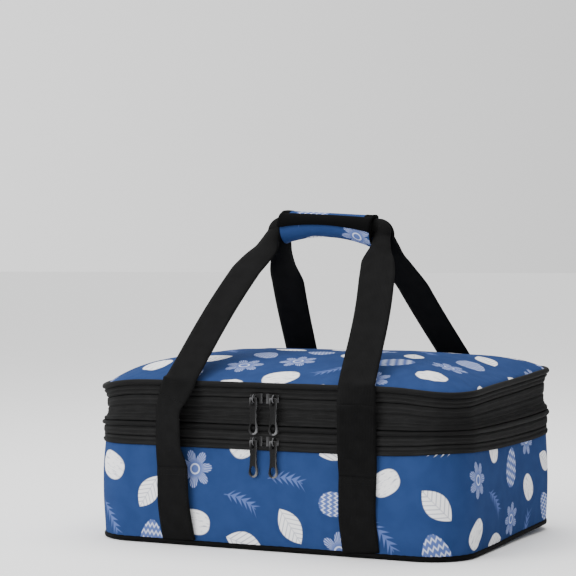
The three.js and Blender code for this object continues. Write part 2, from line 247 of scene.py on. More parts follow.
def swell(piece, pinned, pressure, cap):
    # pressure pushes the padding out between its seams; no point moves further than the cap
    scene = bpy.context.scene
    trial = addObject(piece.name + "Trial", piece.data.copy())
    seams = trial.vertex_groups.new(name="seams")
    for index, weight in enumerate(pinned):
        seams.add([index], float(weight), "REPLACE")
    cloth = trial.modifiers.new("swell", "CLOTH")
    settings = cloth.settings
    settings.quality = clothLook["steps"]
    settings.mass = clothLook["mass"]
    settings.tension_stiffness = settings.compression_stiffness = clothLook["tension"]
    settings.shear_stiffness = clothLook["shear"]
    settings.bending_stiffness = clothLook["bending"]
    settings.vertex_group_mass = "seams"
    settings.use_pressure = True
    settings.uniform_pressure_force = pressure
    settings.effector_weights.gravity = 0
    cloth.collision_settings.use_collision = False
    cloth.point_cache.frame_end = clothLook["frames"]
    for step in range(1, clothLook["frames"] + 1):
        scene.frame_set(step)
    settled = trial.evaluated_get(bpy.context.evaluated_depsgraph_get()).data
    start, end = (np.empty(len(piece.data.vertices) * 3) for _ in range(2))
    piece.data.vertices.foreach_get("co", start)
    settled.vertices.foreach_get("co", end)
    move = (end - start).reshape(-1, 3)
    length = np.maximum(np.linalg.norm(move, axis=1), 1e-9)
    move *= (cap * mm * np.tanh(length / (cap * mm)) / length)[:, None]
    print(piece.name, "swelled up to", round(float(length.max()) * 1000, 1), "mm, kept", cap)
    piece.data.vertices.foreach_set("co", start + move.ravel())
    piece.data.update()
    bpy.data.objects.remove(trial)
    scene.frame_set(1)


def newMaterial(name):
    material = bpy.data.materials.new(name)
    material.use_nodes = True
    tree = material.node_tree
    return material, tree, tree.nodes["Principled BSDF"]


def put(tree, socket, value):
    if isinstance(value, bpy.types.NodeSocket):
        tree.links.new(value, socket)
    elif value is not None:
        socket.default_value = value


def calc(tree, operation, a, b=None, c=None):
    node = tree.nodes.new("ShaderNodeMath")
    node.operation = operation
    for socket, value in zip(node.inputs, (a, b, c)):
        put(tree, socket, value)
    return node.outputs[0]


def sineOf(tree, value, rate):
    return calc(tree, "SINE", calc(tree, "MULTIPLY", value, rate))


def ramp(tree, value, low, high, toLow=0.0, toHigh=1.0):
    node = tree.nodes.new("ShaderNodeMapRange")
    node.interpolation_type = "SMOOTHSTEP"
    for socket, v in zip(node.inputs, (value, low, high, toLow, toHigh)):
        put(tree, socket, v)
    return node.outputs[0]


def mixColor(tree, factor, a, b):
    node = tree.nodes.new("ShaderNodeMix")
    node.data_type = "RGBA"
    put(tree, node.inputs[0], factor)
    put(tree, node.inputs[6], a)
    put(tree, node.inputs[7], b)
    return node.outputs[2]


def splitVector(tree, vector):
    node = tree.nodes.new("ShaderNodeSeparateXYZ")
    put(tree, node.inputs[0], vector)
    return node.outputs[0], node.outputs[1]


def joinVector(tree, x, y, z=0.0):
    node = tree.nodes.new("ShaderNodeCombineXYZ")
    for socket, v in zip(node.inputs, (x, y, z)):
        put(tree, socket, v)
    return node.outputs[0]


def clothUv(tree):
    node = tree.nodes.new("ShaderNodeUVMap")
    node.uv_map = "clothUv"
    return node.outputs[0]


def noise(tree, vector, scale, detail=2.0):
    node = tree.nodes.new("ShaderNodeTexNoise")
    put(tree, node.inputs["Vector"], vector)
    node.inputs["Scale"].default_value = scale
    node.inputs["Detail"].default_value = detail
    return node.outputs["Fac"]


def bump(tree, height, distance, strength=1.0):
    node = tree.nodes.new("ShaderNodeBump")
    node.inputs["Strength"].default_value = strength
    node.inputs["Distance"].default_value = distance
    put(tree, node.inputs["Height"], height)
    return node.outputs[0]


def newGroup(name, inputs, outputs):
    tree = bpy.data.node_groups.new(name, "ShaderNodeTree")
    for socketName, kind in inputs:
        tree.interface.new_socket(socketName, in_out="INPUT", socket_type=kind)
    for socketName, kind in outputs:
        tree.interface.new_socket(socketName, in_out="OUTPUT", socket_type=kind)
    return tree, tree.nodes.new("NodeGroupInput"), tree.nodes.new("NodeGroupOutput")


def useGroup(tree, group, **values):
    node = tree.nodes.new("ShaderNodeGroup")
    node.node_tree = group
    for name, value in values.items():
        put(tree, node.inputs[name], value)
    return node


# printed cloth: one motif in each cell of a staggered grid, turned and chosen by the cell

printLook = {
    "around": 26,  # motifs round the bag, so that the print meets itself at the back
    "ground": (0.0165, 0.0395, 0.125, 1),
    "deep": (0.0195, 0.0455, 0.14, 1),
    "white": (0.84, 0.84, 0.85, 1),
    "grey": (0.42, 0.43, 0.5, 1),
    "lilac": (0.085, 0.13, 0.33, 1),
    "pale": (0.5, 0.55, 0.72, 1),
    "roughness": 0.9,
    "gloss": 0.06,
    "thread": 0.0011,
    "relief": 0.00012,
}

# sizes of the motifs as shares of a cell
motifLook = {
    "kinds": 5, "stagger": 0.45, "jitter": 0.14, "turn": 2.6,
    "smallest": 0.94, "growth": 0.24, "edge": 0.012,
    "whiteSprigs": 0.6,
    "leaf": {"half": 0.125, "point": 0.95, "wide": 1.65, "rib": 0.006, "slant": -0.9, "veins": 62.0},
    "blossom": {"petals": 3.5, "round": 0.7, "reach": 0.2, "heart": 0.14, "rays": 49.0, "eye": 0.085},
    "sprig": {
        "bend": 0.45, "long": 0.36, "stem": 0.008, "slant": -1.1, "pairs": 8.0, "wide": 0.13, "slim": 3.2,
    },
    "pod": {"half": 0.24, "taper": -0.15, "long": 0.37, "zigzag": 0.055, "bands": 46.0},
    "pebble": {"half": 0.24, "long": 0.32, "square": 2.4, "grain": (26.0, 5.0)},
}


def buildPrintGroup():
    tree, start, end = newGroup(
        "printMotifs",
        [("Uv", "NodeSocketVector"), ("Cell", "NodeSocketFloat")],
        [("White", "NodeSocketFloat"), ("Lilac", "NodeSocketFloat"), ("Line", "NodeSocketFloat")],
    )

    def m(operation, a, b=None, c=None):
        return calc(tree, operation, a, b, c)

    u, v = splitVector(tree, start.outputs["Uv"])
    u = m("DIVIDE", u, start.outputs["Cell"])
    v = m("DIVIDE", v, start.outputs["Cell"])
    column = m("FLOOR", u)
    odd = m("PINGPONG", column, 1.0)
    column = m("WRAP", column, float(printLook["around"]), 0.0)
    v = m("MULTIPLY_ADD", odd, motifLook["stagger"], v)
    row = m("FLOOR", v)
    pick = tree.nodes.new("ShaderNodeTexWhiteNoise")
    pick.noise_dimensions = "2D"
    put(tree, pick.inputs["Vector"], joinVector(tree, column, row))
    chance = tree.nodes.new("ShaderNodeSeparateColor")
    put(tree, chance.inputs[0], pick.outputs["Color"])
    kinds, jitter, edge = (motifLook[k] for k in ("kinds", "jitter", "edge"))
    order = m("FRACT", m("MULTIPLY", m("MULTIPLY_ADD", row, 2.0, column), 1 / kinds))
    kind = m("FLOOR", m("MULTIPLY", order, kinds + 0.001))
    x = m("SUBTRACT", m("FRACT", u), m("MULTIPLY_ADD", chance.outputs[0], jitter, 0.5 - jitter / 2))
    y = m("SUBTRACT", m("FRACT", v), m("MULTIPLY_ADD", chance.outputs[1], jitter, 0.5 - jitter / 2))
    turn = m("MULTIPLY_ADD", chance.outputs[2], 2 * motifLook["turn"], -motifLook["turn"])
    cosT, sinT = m("COSINE", turn), m("SINE", turn)
    size = m("MULTIPLY_ADD", chance.outputs[1], motifLook["growth"], motifLook["smallest"])
    px = m("DIVIDE", m("SUBTRACT", m("MULTIPLY", x, cosT), m("MULTIPLY", y, sinT)), size)
    py = m("DIVIDE", m("ADD", m("MULTIPLY", x, sinT), m("MULTIPLY", y, cosT)), size)
    besideX = m("ABSOLUTE", px)

    def inside(distance):
        return fades(distance, -edge, edge)

    def fades(value, low, high):
        return ramp(tree, value, low, high, 1.0, 0.0)

    def stripes(value, rate, width):
        return ramp(tree, sineOf(tree, value, rate), 1 - width, 1.0)

    def square(value):
        return m("MULTIPLY", value, value)

    def isKind(k):
        return m("COMPARE", kind, float(k), 0.3)

    # broad leaf: two arcs meeting in a point, a midrib and slanting veins
    look = motifLook["leaf"]
    widthHere = m("SUBTRACT", look["half"], m("MULTIPLY", square(py), look["point"]))
    leaf = inside(m("SUBTRACT", besideX, m("MULTIPLY", widthHere, look["wide"])))
    rib = inside(m("SUBTRACT", besideX, look["rib"]))
    veins = stripes(m("MULTIPLY_ADD", besideX, look["slant"], py), look["veins"], 0.55)
    leafLines = m("MAXIMUM", rib, veins)

    # blossom: seven petals round an eye
    look = motifLook["blossom"]
    radius = m("SQRT", m("ADD", square(px), square(py)))
    angle = m("ARCTAN2", px, py)
    petals = m("POWER", m("ABSOLUTE", m("COSINE", m("MULTIPLY", angle, look["petals"]))), look["round"])
    blossom = inside(m("SUBTRACT", radius, m("MULTIPLY_ADD", petals, look["reach"], look["heart"])))
    rays = m("MULTIPLY", stripes(angle, look["rays"], 0.5), ramp(tree, radius, 0.1, 0.2))
    eye = fades(m("ABSOLUTE", m("SUBTRACT", radius, look["eye"])), 0.008, 0.02)
    blossomLines = m("MAXIMUM", rays, eye)

    # sprig: a bent stem with leaflets in pairs
    look = motifLook["sprig"]
    bent = m("ABSOLUTE", m("SUBTRACT", px, m("MULTIPLY", square(py), look["bend"])))
    reach = fades(m("ABSOLUTE", py), look["long"], look["long"] + 0.04)
    stem = m("MULTIPLY", inside(m("SUBTRACT", bent, look["stem"])), reach)
    slant = m("MULTIPLY_ADD", bent, look["slant"], py)
    step = m("ABSOLUTE", m("SUBTRACT", m("FRACT", m("MULTIPLY", slant, look["pairs"])), 0.5))
    leaflet = m("SUBTRACT", step, m("MULTIPLY", m("SUBTRACT", look["wide"], bent), look["slim"]))
    leaflets = m("MULTIPLY", fades(leaflet, -0.08, 0.08), fades(m("ABSOLUTE", slant), 0.3, 0.33))
    sprig = m("MAXIMUM", stem, leaflets)

    # seed pod: an egg with bands of chevrons
    look = motifLook["pod"]
    eggX = m("DIVIDE", px, m("MULTIPLY_ADD", py, look["taper"], look["half"]))
    egg = m("SQRT", m("ADD", square(eggX), square(m("DIVIDE", py, look["long"]))))
    pod = fades(egg, 0.96, 1.04)
    chevron = m("PINGPONG", m("MULTIPLY", px, 1.3), look["zigzag"])
    podLines = stripes(m("MULTIPLY_ADD", chevron, 1.3, py), look["bands"], 0.95)

    # pebble: a rounded lozenge with long fine grain
    look = motifLook["pebble"]
    lumpX = m("POWER", m("ABSOLUTE", m("DIVIDE", px, look["half"])), look["square"])
    lumpY = m("POWER", m("ABSOLUTE", m("DIVIDE", py, look["long"])), look["square"])
    pebble = fades(m("POWER", m("ADD", lumpX, lumpY), 0.4), 0.95, 1.05)
    grainX, grainY = m("MULTIPLY", px, look["grain"][0]), m("MULTIPLY", py, look["grain"][1])
    pebbleLines = ramp(tree, noise(tree, joinVector(tree, grainX, grainY, kind), 1.6, 3.0), 0.5, 0.72)

    def only(mask, k):
        return m("MULTIPLY", mask, isKind(k))

    def sprigs(test):
        return m("MULTIPLY", only(sprig, 2), m(test, chance.outputs[0], motifLook["whiteSprigs"]))

    def total(*masks):
        summed = masks[0]
        for mask in masks[1:]:
            summed = m("ADD", summed, mask)
        return summed

    put(tree, end.inputs["White"], total(only(leaf, 0), only(pebble, 4), sprigs("GREATER_THAN")))
    put(tree, end.inputs["Lilac"], total(only(blossom, 1), only(pod, 3), sprigs("LESS_THAN")))
    lines = (leafLines, 0), (blossomLines, 1), (podLines, 3), (pebbleLines, 4)
    put(tree, end.inputs["Line"], total(*(only(mask, k) for mask, k in lines)))
    return tree


# fine woven grain shared by the cloths: crossed threads, and a slow change of tone
def buildWeaveGroup():
    tree, start, end = newGroup(
        "threadGrain",
        [("Uv", "NodeSocketVector"), ("Pitch", "NodeSocketFloat")],
        [("Height", "NodeSocketFloat"), ("Tone", "NodeSocketFloat")],
    )
    u, v = splitVector(tree, start.outputs["Uv"])
    rate = calc(tree, "DIVIDE", 2 * math.pi, start.outputs["Pitch"])
    crossed = calc(tree, "MULTIPLY", sineOf(tree, u, rate), sineOf(tree, v, rate))
    put(tree, end.inputs["Height"], calc(tree, "MULTIPLY_ADD", crossed, 0.5, 0.5))
    put(tree, end.inputs["Tone"], noise(tree, start.outputs["Uv"], 60.0, 4.0))
    return tree


printGroup = buildPrintGroup()
weaveGroup = buildWeaveGroup()


def printCloth():
    material, tree, shader = newMaterial("printCloth")
    uv = clothUv(tree)
    motif = useGroup(tree, printGroup, Uv=uv, Cell=girth * mm / printLook["around"])
    weave = useGroup(tree, weaveGroup, Uv=uv, Pitch=printLook["thread"])
    whiteInk = mixColor(tree, motif.outputs["Line"], printLook["white"], printLook["grey"])
    lilacInk = mixColor(tree, motif.outputs["Line"], printLook["lilac"], printLook["pale"])
    tone = ramp(tree, weave.outputs["Tone"], 0.3, 0.7)
    ground = mixColor(tree, tone, printLook["ground"], printLook["deep"])
    color = mixColor(tree, motif.outputs["White"], ground, whiteInk)
    color = mixColor(tree, motif.outputs["Lilac"], color, lilacInk)
    put(tree, shader.inputs["Base Color"], color)
    shader.inputs["Roughness"].default_value = printLook["roughness"]
    shader.inputs["Specular IOR Level"].default_value = printLook["gloss"]
    put(tree, shader.inputs["Normal"], bump(tree, weave.outputs["Height"], printLook["relief"], 0.5))
    return material


# the blacks: colour, pitch and depth of the ribs, pitch of the cross threads, gloss
blackLook = {
    "zipTape": ((0.0122, 0.0122, 0.0123, 1), 0.0016, 0.00008, 0.0011, 0.05),
    "webbing": ((0.0044, 0.0044, 0.0045, 1), 0.0015, 0.0001, 0.0013, 0.06),
    "piping": ((0.0042, 0.0042, 0.0043, 1), 0.004, 0.00005, 0.0012, 0.14),
    "trim": ((0.0022, 0.0022, 0.0023, 1), 0.003, 0.00005, 0.0012, 0.08),
}
blackRough = 0.8
# the tone of the tucks is painted light: tone lightens their crests as a painted highlight, grooveShade
# darkens the band as painted shade
tuckLook = {
    "pitch": 0.0046, "wander": 7.0, "patches": 90.0, "stretch": 0.35, "sharp": 3.0,
    "height": 5.0, "tone": 0.45, "grooveShade": 0.16,
}


def ribbedCloth(name, tucked=False):
    # woven tape: ribs along its length, finer threads across, and rows of small tucks on the bands; its
    # colour carries painted highlight on the crests of the ribs and tucks and painted shade in their
    # hollows
    color, ribPitch, ribDepth, crossPitch, gloss = blackLook[name]
    material, tree, shader = newMaterial(name)
    uv = clothUv(tree)
    u, v = splitVector(tree, uv)
    threads = sineOf(tree, u, 2 * math.pi / crossPitch)
    height = calc(tree, "MULTIPLY_ADD", threads, 0.4, sineOf(tree, v, 2 * math.pi / ribPitch))
    # the colour follows the rib height, a painted highlight on the crests and painted shade in the hollows,
    # with random tone from the noise
    tone = calc(tree, "MULTIPLY_ADD", height, 0.12, noise(tree, uv, 70.0, 4.0))
    if tucked:
        drawn = joinVector(tree, calc(tree, "MULTIPLY", u, tuckLook["stretch"]), v)
        wander = calc(tree, "MULTIPLY", noise(tree, drawn, tuckLook["patches"]), tuckLook["wander"])
        wavy = calc(tree, "SINE", calc(tree, "MULTIPLY_ADD", v, 2 * math.pi / tuckLook["pitch"], wander))
        tucks = calc(tree, "POWER", calc(tree, "MULTIPLY_ADD", wavy, 0.5, 0.5), tuckLook["sharp"])
        height = calc(tree, "MULTIPLY_ADD", tucks, tuckLook["height"], height)
        # painted shade over the band, then a painted highlight along the tuck crests
        tone = calc(tree, "SUBTRACT", tone, tuckLook["grooveShade"])
        tone = calc(tree, "MULTIPLY_ADD", tucks, tuckLook["tone"], tone)
    shade = ramp(tree, tone, 0.25, 0.75, 0.8, 1.25)
    tint = tree.nodes.new("ShaderNodeVectorMath")
    tint.operation = "SCALE"
    tint.inputs[0].default_value = color[:3]
    put(tree, tint.inputs["Scale"], shade)
    put(tree, shader.inputs["Base Color"], tint.outputs[0])
    shader.inputs["Roughness"].default_value = blackRough
    shader.inputs["Specular IOR Level"].default_value = gloss
    put(tree, shader.inputs["Normal"], bump(tree, height, ribDepth, 0.6))
    return material


# colour, roughness and gloss
plainLook = {
    "thread": ((0.0045, 0.0045, 0.005, 1), 0.8, 0.15),
    "nylonCoil": ((0.005, 0.005, 0.0055, 1), 0.6, 0.15),
    # the hook tape's colour is darkened with painted shade, as the grip's binding lies in shadow
    "hookTape": ((0.0022, 0.0022, 0.0024, 1), 0.95, 0.05),
    "floorPaper": ((0.97, 0.97, 0.97, 1), 0.9, 0.5),
}


def plainMaterial(name):
    color, roughness, gloss = plainLook[name]
    material, tree, shader = newMaterial(name)
    shader.inputs["Base Color"].default_value = color
    shader.inputs["Roughness"].default_value = roughness
    shader.inputs["Specular IOR Level"].default_value = gloss
    return material


# rimHighlight is a painted highlight, the lighter colour laid on the sharp edges of the sliders and pulls
paintLook = {
    "black": (0.0014, 0.0014, 0.0015, 1), "rimHighlight": (0.12, 0.12, 0.124, 1), "edges": (0.506, 0.552),
    "roughness": (0.2, 0.34), "gloss": 0.14, "grain": 900.0,
}


def paintWithRimHighlight():
    # black paint on metal, with a painted highlight: a lighter colour along the sharp edges, where the
    # pointiness is high
    material, tree, shader = newMaterial("blackPaint")
    place = tree.nodes.new("ShaderNodeNewGeometry")
    # painted highlight mask, full on the sharpest edges
    rimHighlight = ramp(tree, place.outputs["Pointiness"], *paintLook["edges"])
    grain = noise(tree, tree.nodes.new("ShaderNodeTexCoord").outputs["Object"], paintLook["grain"], 3.0)
    put(tree, shader.inputs["Base Color"], mixColor(tree, rimHighlight, paintLook["black"], paintLook["rimHighlight"]))
    put(tree, shader.inputs["Roughness"], ramp(tree, grain, 0.3, 0.7, *paintLook["roughness"]))
    shader.inputs["Specular IOR Level"].default_value = paintLook["gloss"]
    return material


foilLook = {
    "color": (0.62, 0.63, 0.65, 1), "metal": 0.75, "roughness": 0.34,
    "diamond": 0.012, "crinkle": 110.0, "relief": 0.0012,
}


def foilMaterial():
    # crinkled film over foam, quilted in a fine diamond
    material, tree, shader = newMaterial("foilFilm")
    uv = clothUv(tree)
    u, v = splitVector(tree, uv)
    rate = 2 * math.pi / foilLook["diamond"]
    a, b = (sineOf(tree, calc(tree, way, u, v), rate) for way in ("ADD", "SUBTRACT"))
    quilt = calc(tree, "MINIMUM", calc(tree, "ABSOLUTE", a), calc(tree, "ABSOLUTE", b))
    crinkle = noise(tree, uv, foilLook["crinkle"], 5.0)
    height = calc(tree, "MULTIPLY_ADD", crinkle, 0.9, calc(tree, "POWER", quilt, 0.5))
    shader.inputs["Base Color"].default_value = foilLook["color"]
    shader.inputs["Metallic"].default_value = foilLook["metal"]
    shader.inputs["Roughness"].default_value = foilLook["roughness"]
    put(tree, shader.inputs["Normal"], bump(tree, height, foilLook["relief"], 0.6))
    return material


clothPrint = printCloth()
tapeCloth = ribbedCloth("zipTape", tucked=True)
webCloth, pipingCloth, trimCloth = (ribbedCloth(name) for name in ("webbing", "piping", "trim"))
threadBlack = plainMaterial("thread")
nylonBlack = plainMaterial("nylonCoil")
paintBlack = paintWithRimHighlight()
hookShadedBlack = plainMaterial("hookTape")
foilFilm = foilMaterial()
print("materials ready")


shellLook = {
    "height": 102, "puff": 2.4, "pucker": 0.35, "uneven": 0.7, "wall": 4.5, "foot": 5.0, "inset": 0.5,
    "pressure": 3, "cap": 2, "strapX": 102, "strapHalf": 22, "strapY": 140, "soft": 14,
}


def wallOut(z):
    # how far the wall stands out of the plan: drawn in at the foot, full at half height
    share = np.clip(z / shellLook["height"], 0, 1)
    drawn = shellLook["inset"] * np.exp(-z / 11)
    return shellLook["puff"] * np.sin(math.pi * share) ** 0.8 - drawn - 0.5


def buildShell():
    s = np.linspace(-girth / 2, girth / 2, 430, endpoint=False)
    at, out = planAt(s)
    foot = shellLook["foot"]
    low = at + out * wallOut(foot)
    rows, uvRows = [], []
    for share in (0.0, 0.35, 0.7, 0.9):
        rows.append(np.column_stack([(low - out * foot) * share, np.zeros(len(s))]))
        uvRows.append(-70 + 70 * share)
    for k in range(6):
        a = math.pi / 2 * k / 6
        reach = foot * (1 - math.sin(a))
        rows.append(np.column_stack([low - out * reach, np.full(len(s), foot * (1 - math.cos(a)))]))
        uvRows.append(foot * (1 - math.cos(a)))
    for z in np.linspace(foot, shellLook["height"], 34):
        near = math.exp(-(shellLook["height"] - z) / 9) + math.exp(-(z - foot) / 7)
        tuck = shellLook["pucker"] * near * np.sin(s * 0.62 + 1.3 * wave(s, z, 4))
        uneven = shellLook["uneven"] * math.sin(math.pi * z / shellLook["height"]) * wave(s, z, 2)
        rows.append(np.column_stack([at + out * (wallOut(z) + tuck + uneven)[:, None], np.full(len(s), z)]))
        uvRows.append(z)
    rows.append(np.column_stack([at - out * shellLook["wall"], np.full(len(s), shellLook["height"])]))
    uvRows.append(shellLook["height"] + 5)
    uv = np.stack(np.meshgrid(uvRows, np.append(s, girth / 2), indexing="ij"), -1)[:, :, ::-1]
    shell = gridPiece("bodyShell", np.array(rows), uv, clothPrint, closeCols=True)
    # held along its edges and under the straps
    x, y, z = np.abs(weldPoints(shell)).T
    soft, besideStrap = shellLook["soft"], np.abs(x - shellLook["strapX"]) - shellLook["strapHalf"]
    underStrap = np.where(y > shellLook["strapY"], np.clip(1 - besideStrap / soft, 0, 1), 0)
    edge = np.clip(1 - np.minimum(z - foot - 2, shellLook["height"] - 4 - z) / soft, 0, 1)
    swell(shell, np.maximum(edge, underStrap), shellLook["pressure"], shellLook["cap"])
    keep(shell, "body", "print_cloth", "body_shell")


liningLook = {"inset": 5.6, "floor": 9.2, "top": 99.4, "loose": 0.5}


def buildLining():
    s = np.linspace(0, girth, 220, endpoint=False)
    at, out = planAt(s)
    inset, floor, top, loose = (liningLook[k] for k in ("inset", "floor", "top", "loose"))
    rows, uvRows = [], []
    for z in np.linspace(top, floor + 3, 20):
        slack = loose + loose * wave(s, z * 2, 6)
        rows.append(np.column_stack([at - out * (inset + slack)[:, None], np.full(len(s), z)]))
        uvRows.append(z)
    for share in np.linspace(1, 0, 12):
        lift = floor + 0.9 + loose * wave(s * share, 300 * share, 5)
        rows.append(np.column_stack([(at - out * (inset + 2)) * share, lift]))
        uvRows.append(floor - 150 * (1 - share))
    uv = np.stack(np.meshgrid(uvRows, np.append(s, girth), indexing="ij"), -1)[:, :, ::-1]
    lining = gridPiece("bodyLining", np.array(rows), uv, foilFilm, closeCols=True)
    keep(lining, "body", "foil", "body_lining")


trimLook = {
    "uneven": 0.15,
    "section": [(-4.5, 0.3), (-0.6, 0.3), (0.9, 1.2), (1.2, 3.4), (0.9, 5.2), (-0.6, 6), (-4.5, 5.2)],
}


def buildTrim():
    trim = bandPiece("baseTrim", smoothLoop(trimLook["section"]), trimCloth, uneven=trimLook["uneven"])
    keep(trim, "body", "black_cloth", "base_trim")


buildShell()
buildLining()
buildTrim()
print("lower compartment built")


def recessed(section):
    return [(out - bandLook["recess"], z) for out, z in section]


def bandSections():
    # sections of the tapes and the deck's band, as (out, z) points
    yield smoothLoop([
        (0.1, 100.4), (1.5, 100.8), (1.9, 102.4), (1.7, 104.6), (0.5, 105.4), (0.8, 106.4), (1, 108.2),
        (0.5, 109.5), (-3.2, 109.4), (-3.2, 111.4), (-4, 111.4), (-4, 107.6), (-0.9, 107.4), (-0.9, 100.4),
    ])
    yield smoothLoop([
        (-0.9, 109.8), (0.5, 109.8), (1.3, 111.4), (1.6, 114.5),
        (1.4, 117.3), (0.2, 119.6), (-0.4, 122), (-1.6, 122),
    ])
    yield circleLoop(1.0, 122.5, 2.5)
    yield smoothLoop([
        (-3.8, 121.4), (-3, 121.4), (-2.6, 125.4), (-0.2, 125.2), (1.4, 126.6), (1.3, 128.6), (-0.4, 129.8),
        (-1.4, 130.2), (-1.2, 131.6), (-1.7, 132.4),
    ] + recessed([
        (0.4, 133.2), (0.9, 135.8), (0.8, 139.6), (-0.1, 141.1),
        (-0.8, 143.6), (-2.2, 143.6), (-2.2, 126.4),
    ]))
    yield smoothLoop(recessed([
        (-1, 141.3), (0.3, 141.4), (1.2, 142.8), (1.4, 146.4), (1.7, 149.6), (1.5, 151.7), (0.2, 152.2),
        (-2.6, 151.8), (-2.6, 154), (-3.4, 154), (-3.4, 149),
    ]))
    yield smoothLoop(
        recessed([(-0.6, 152.6), (0.6, 152.4), (1.8, 153.6), (2, 156.2), (1.2, 157.4)])
        + [(0.2, 158.6), (0.9, 160), (0.6, 161.8), (-0.8, 162.6), (-1.8, 162.2)]
        + recessed([(-0.9, 157)])
    )
    yield circleLoop(0.4, 165.2, 3)


def buildBands():
    pieces = (
        ("lowerTapeBody", tapeCloth, False, "body", "lower_zip_tape_lower"),
        ("lowerTapeDeck", tapeCloth, False, "body", "lower_zip_tape_upper"),
        ("deckPiping", pipingCloth, True, "body", "deck_piping"),
        ("deckBand", tapeCloth, True, "deck", "deck_band"),
        ("upperTapeDeck", tapeCloth, False, "deck", "upper_zip_tape_lower"),
        ("upperTapeLid", tapeCloth, False, "lid", "upper_zip_tape_upper"),
        ("lidPiping", pipingCloth, True, "lid", "lid_piping"),
    )
    for seed, (section, (name, cloth, closed, body, node)) in enumerate(zip(bandSections(), pieces), 1):
        keep(bandPiece(name, section, cloth, closed, bandLook["uneven"], seed), body, "black_cloth", node)


def buildHinge(name, node, low, high, body, movesWith=None):
    # cloth strip across the back, between the ends of the zip
    half = plan["hingeHalf"] + 0.8
    xs = np.linspace(-half, half, 80)
    loop = smoothLoop([
        (149.2, low), (150.6, low + 1), (151, (low + high) / 2), (150.8, high - 1),
        (149.4, high), (148.6, high - 1), (148.4, low + 1),
    ])
    points = np.zeros((len(xs), len(loop), 3))
    points[:, :, 0] = xs[:, None]
    points[:, :, 1] = loop[None, :, 0] + 0.25 * wave(xs, 30, 8)[:, None]
    points[:, :, 2] = loop[None, :, 1]
    around = np.linspace(0, 2 * (high - low), len(loop) + 1)
    uv = np.stack(np.meshgrid(xs, around, indexing="ij"), -1)
    strip = gridPiece(name, points, uv, tapeCloth, closeCols=True, cap=True)
    keep(strip, None if movesWith else body, "black_cloth", node)
    if movesWith:
        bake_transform(strip)


buildBands()
buildHinge("lowerHinge", "lower_zip_back_hinge", 99.6, 122.4, "body")
buildHinge("lidHinge", "upper_zip_back_hinge", 139.4, 163.2, "deck", "lid")
print("zip bands built")


lidLook = {
    "edge": 165.4, "inset": 1.6, "crown": 25.6, "reach": 0.85, "pucker": 0.4, "rise": 1.3, "slack": 0.9,
    "ridge": 0.73, "lining": 6.2, "print": (17.0, 9.0), "pressure": 4, "cap": 3,
}


def lidRings(drop, count):
    # rings from the piping up to a short ridge along the middle
    s = np.linspace(0, girth, count, endpoint=False)
    at, out = planAt(s)
    edge = at - out * lidLook["inset"]

    def ring(t, z, soft):
        slack = wave(edge[:, 0] * (1 - t) * 1.4, edge[:, 1] * (1 - t) * 1.2, 2)
        soft = soft + lidLook["slack"] * min(1, t * 4) * slack
        return np.column_stack([edge[:, 0] * (1 - lidLook["ridge"] * t), edge[:, 1] * (1 - t), z + soft])

    rows = []
    for k in np.linspace(0, 1, 36):
        t = (1 - math.cos(k * math.pi / 2)) * lidLook["reach"]
        z = lidLook["edge"] - drop + lidLook["crown"] * math.sin(k * math.pi / 2) ** lidLook["rise"]
        pucker = lidLook["pucker"] * math.exp(-t * 14) * np.sin(s * 0.5 + 2 * wave(s, 10, 3))
        rows.append(ring(t, z, pucker))
    for t in (0.92, 1.0):
        rows.append(ring(t, lidLook["edge"] - drop + lidLook["crown"], 0))
    return np.array(rows)


def buildLid():
    for name, drop, material, slotName, node in (
        ("lidPanel", 0, clothPrint, "print_cloth", "lid_panel"),
        ("lidLining", lidLook["lining"], foilFilm, "foil", "lid_lining"),
    ):
        rings = lidRings(drop, 320)
        uv = np.concatenate([rings, rings[:, :1]], 1)[:, :, :2] + np.array(lidLook["print"])
        lid = gridPiece(name, rings, uv, material, closeCols=True)
        if drop:
            lid.data.flip_normals()
        else:
            row = np.arange(len(weldPoints(lid))) // rings.shape[1]
            swell(lid, np.clip(1 - (row - 2) / 5, 0, 1), lidLook["pressure"], lidLook["cap"])
        keep(lid, "lid", slotName, node)


wallLook = {"foot": 114, "low": 121.5, "high": 130.5, "inset": 5.4, "thick": 1.0, "drawn": 5.5}


def buildFoldedWall():
    # lies behind the piping when shut, and is drawn out as the deck rises; this builds it shut and bakes
    # its place into its points
    low, high, inset, thick = (wallLook[k] for k in ("low", "high", "inset", "thick"))
    zs = np.concatenate([np.linspace(wallLook["foot"], low, 6)[:-1], np.linspace(low, high, 35)])
    face, back = np.full(len(zs), -inset), np.full(len(zs), -inset - thick)
    section = np.vstack([np.column_stack([face, zs]), np.column_stack([back, zs[::-1]])])
    wall = bandPiece("foldedWall", section, clothPrint, lean=False)
    keep(wall, None, "print_cloth", "folded_wall")
    layer = wall.data.uv_layers["clothUv"]
    coords = np.array([d.uv for d in layer.data])
    coords[:, 1] *= wallLook["drawn"]  # the print is true once the wall is drawn out
    layer.data.foreach_set("uv", coords.ravel())
    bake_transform(wall)


buildLid()
buildFoldedWall()
print("lid and folding wall built")


# the handle hangs a little to the right, with that end lower
# the front straps go aside over the lid's edge, the back ones only under the grip
handleLook = {
    "aside": 4, "frontZ": (132, 172), "backZ": (270, 330), "tilt": 0.06, "shoulders": (-1, 4),
}
strapLook = {
    "width": 38, "thick": 1.7, "x": (100.5, 102.4, 104), "sewnTop": 80, "creaseZ": 150, "edgeZ": 168,
    "gripZ": 327, "neck": (61.5, -10.5, 320.5), "neckHalf": 8.8, "inGrip": (42, -6.5),
    "fold": 0.45, "bow": 4.5, "backBow": -2, "slant": 4,
    "turn": ((8, 80, 102, 143, 168), (3, 8, 21, 24, 3)), "onWall": 151.6, "over": (154.4, 154.8, 155.2),
}
# how far under the neck each edge of the webbing starts and ends drawing in
drawLook = {"outerFront": (44, -2), "outerBack": (56, -2), "inner": (25, 4), "innerBackLeft": (58, 16)}


def sag(x):
    return -handleLook["tilt"] * x


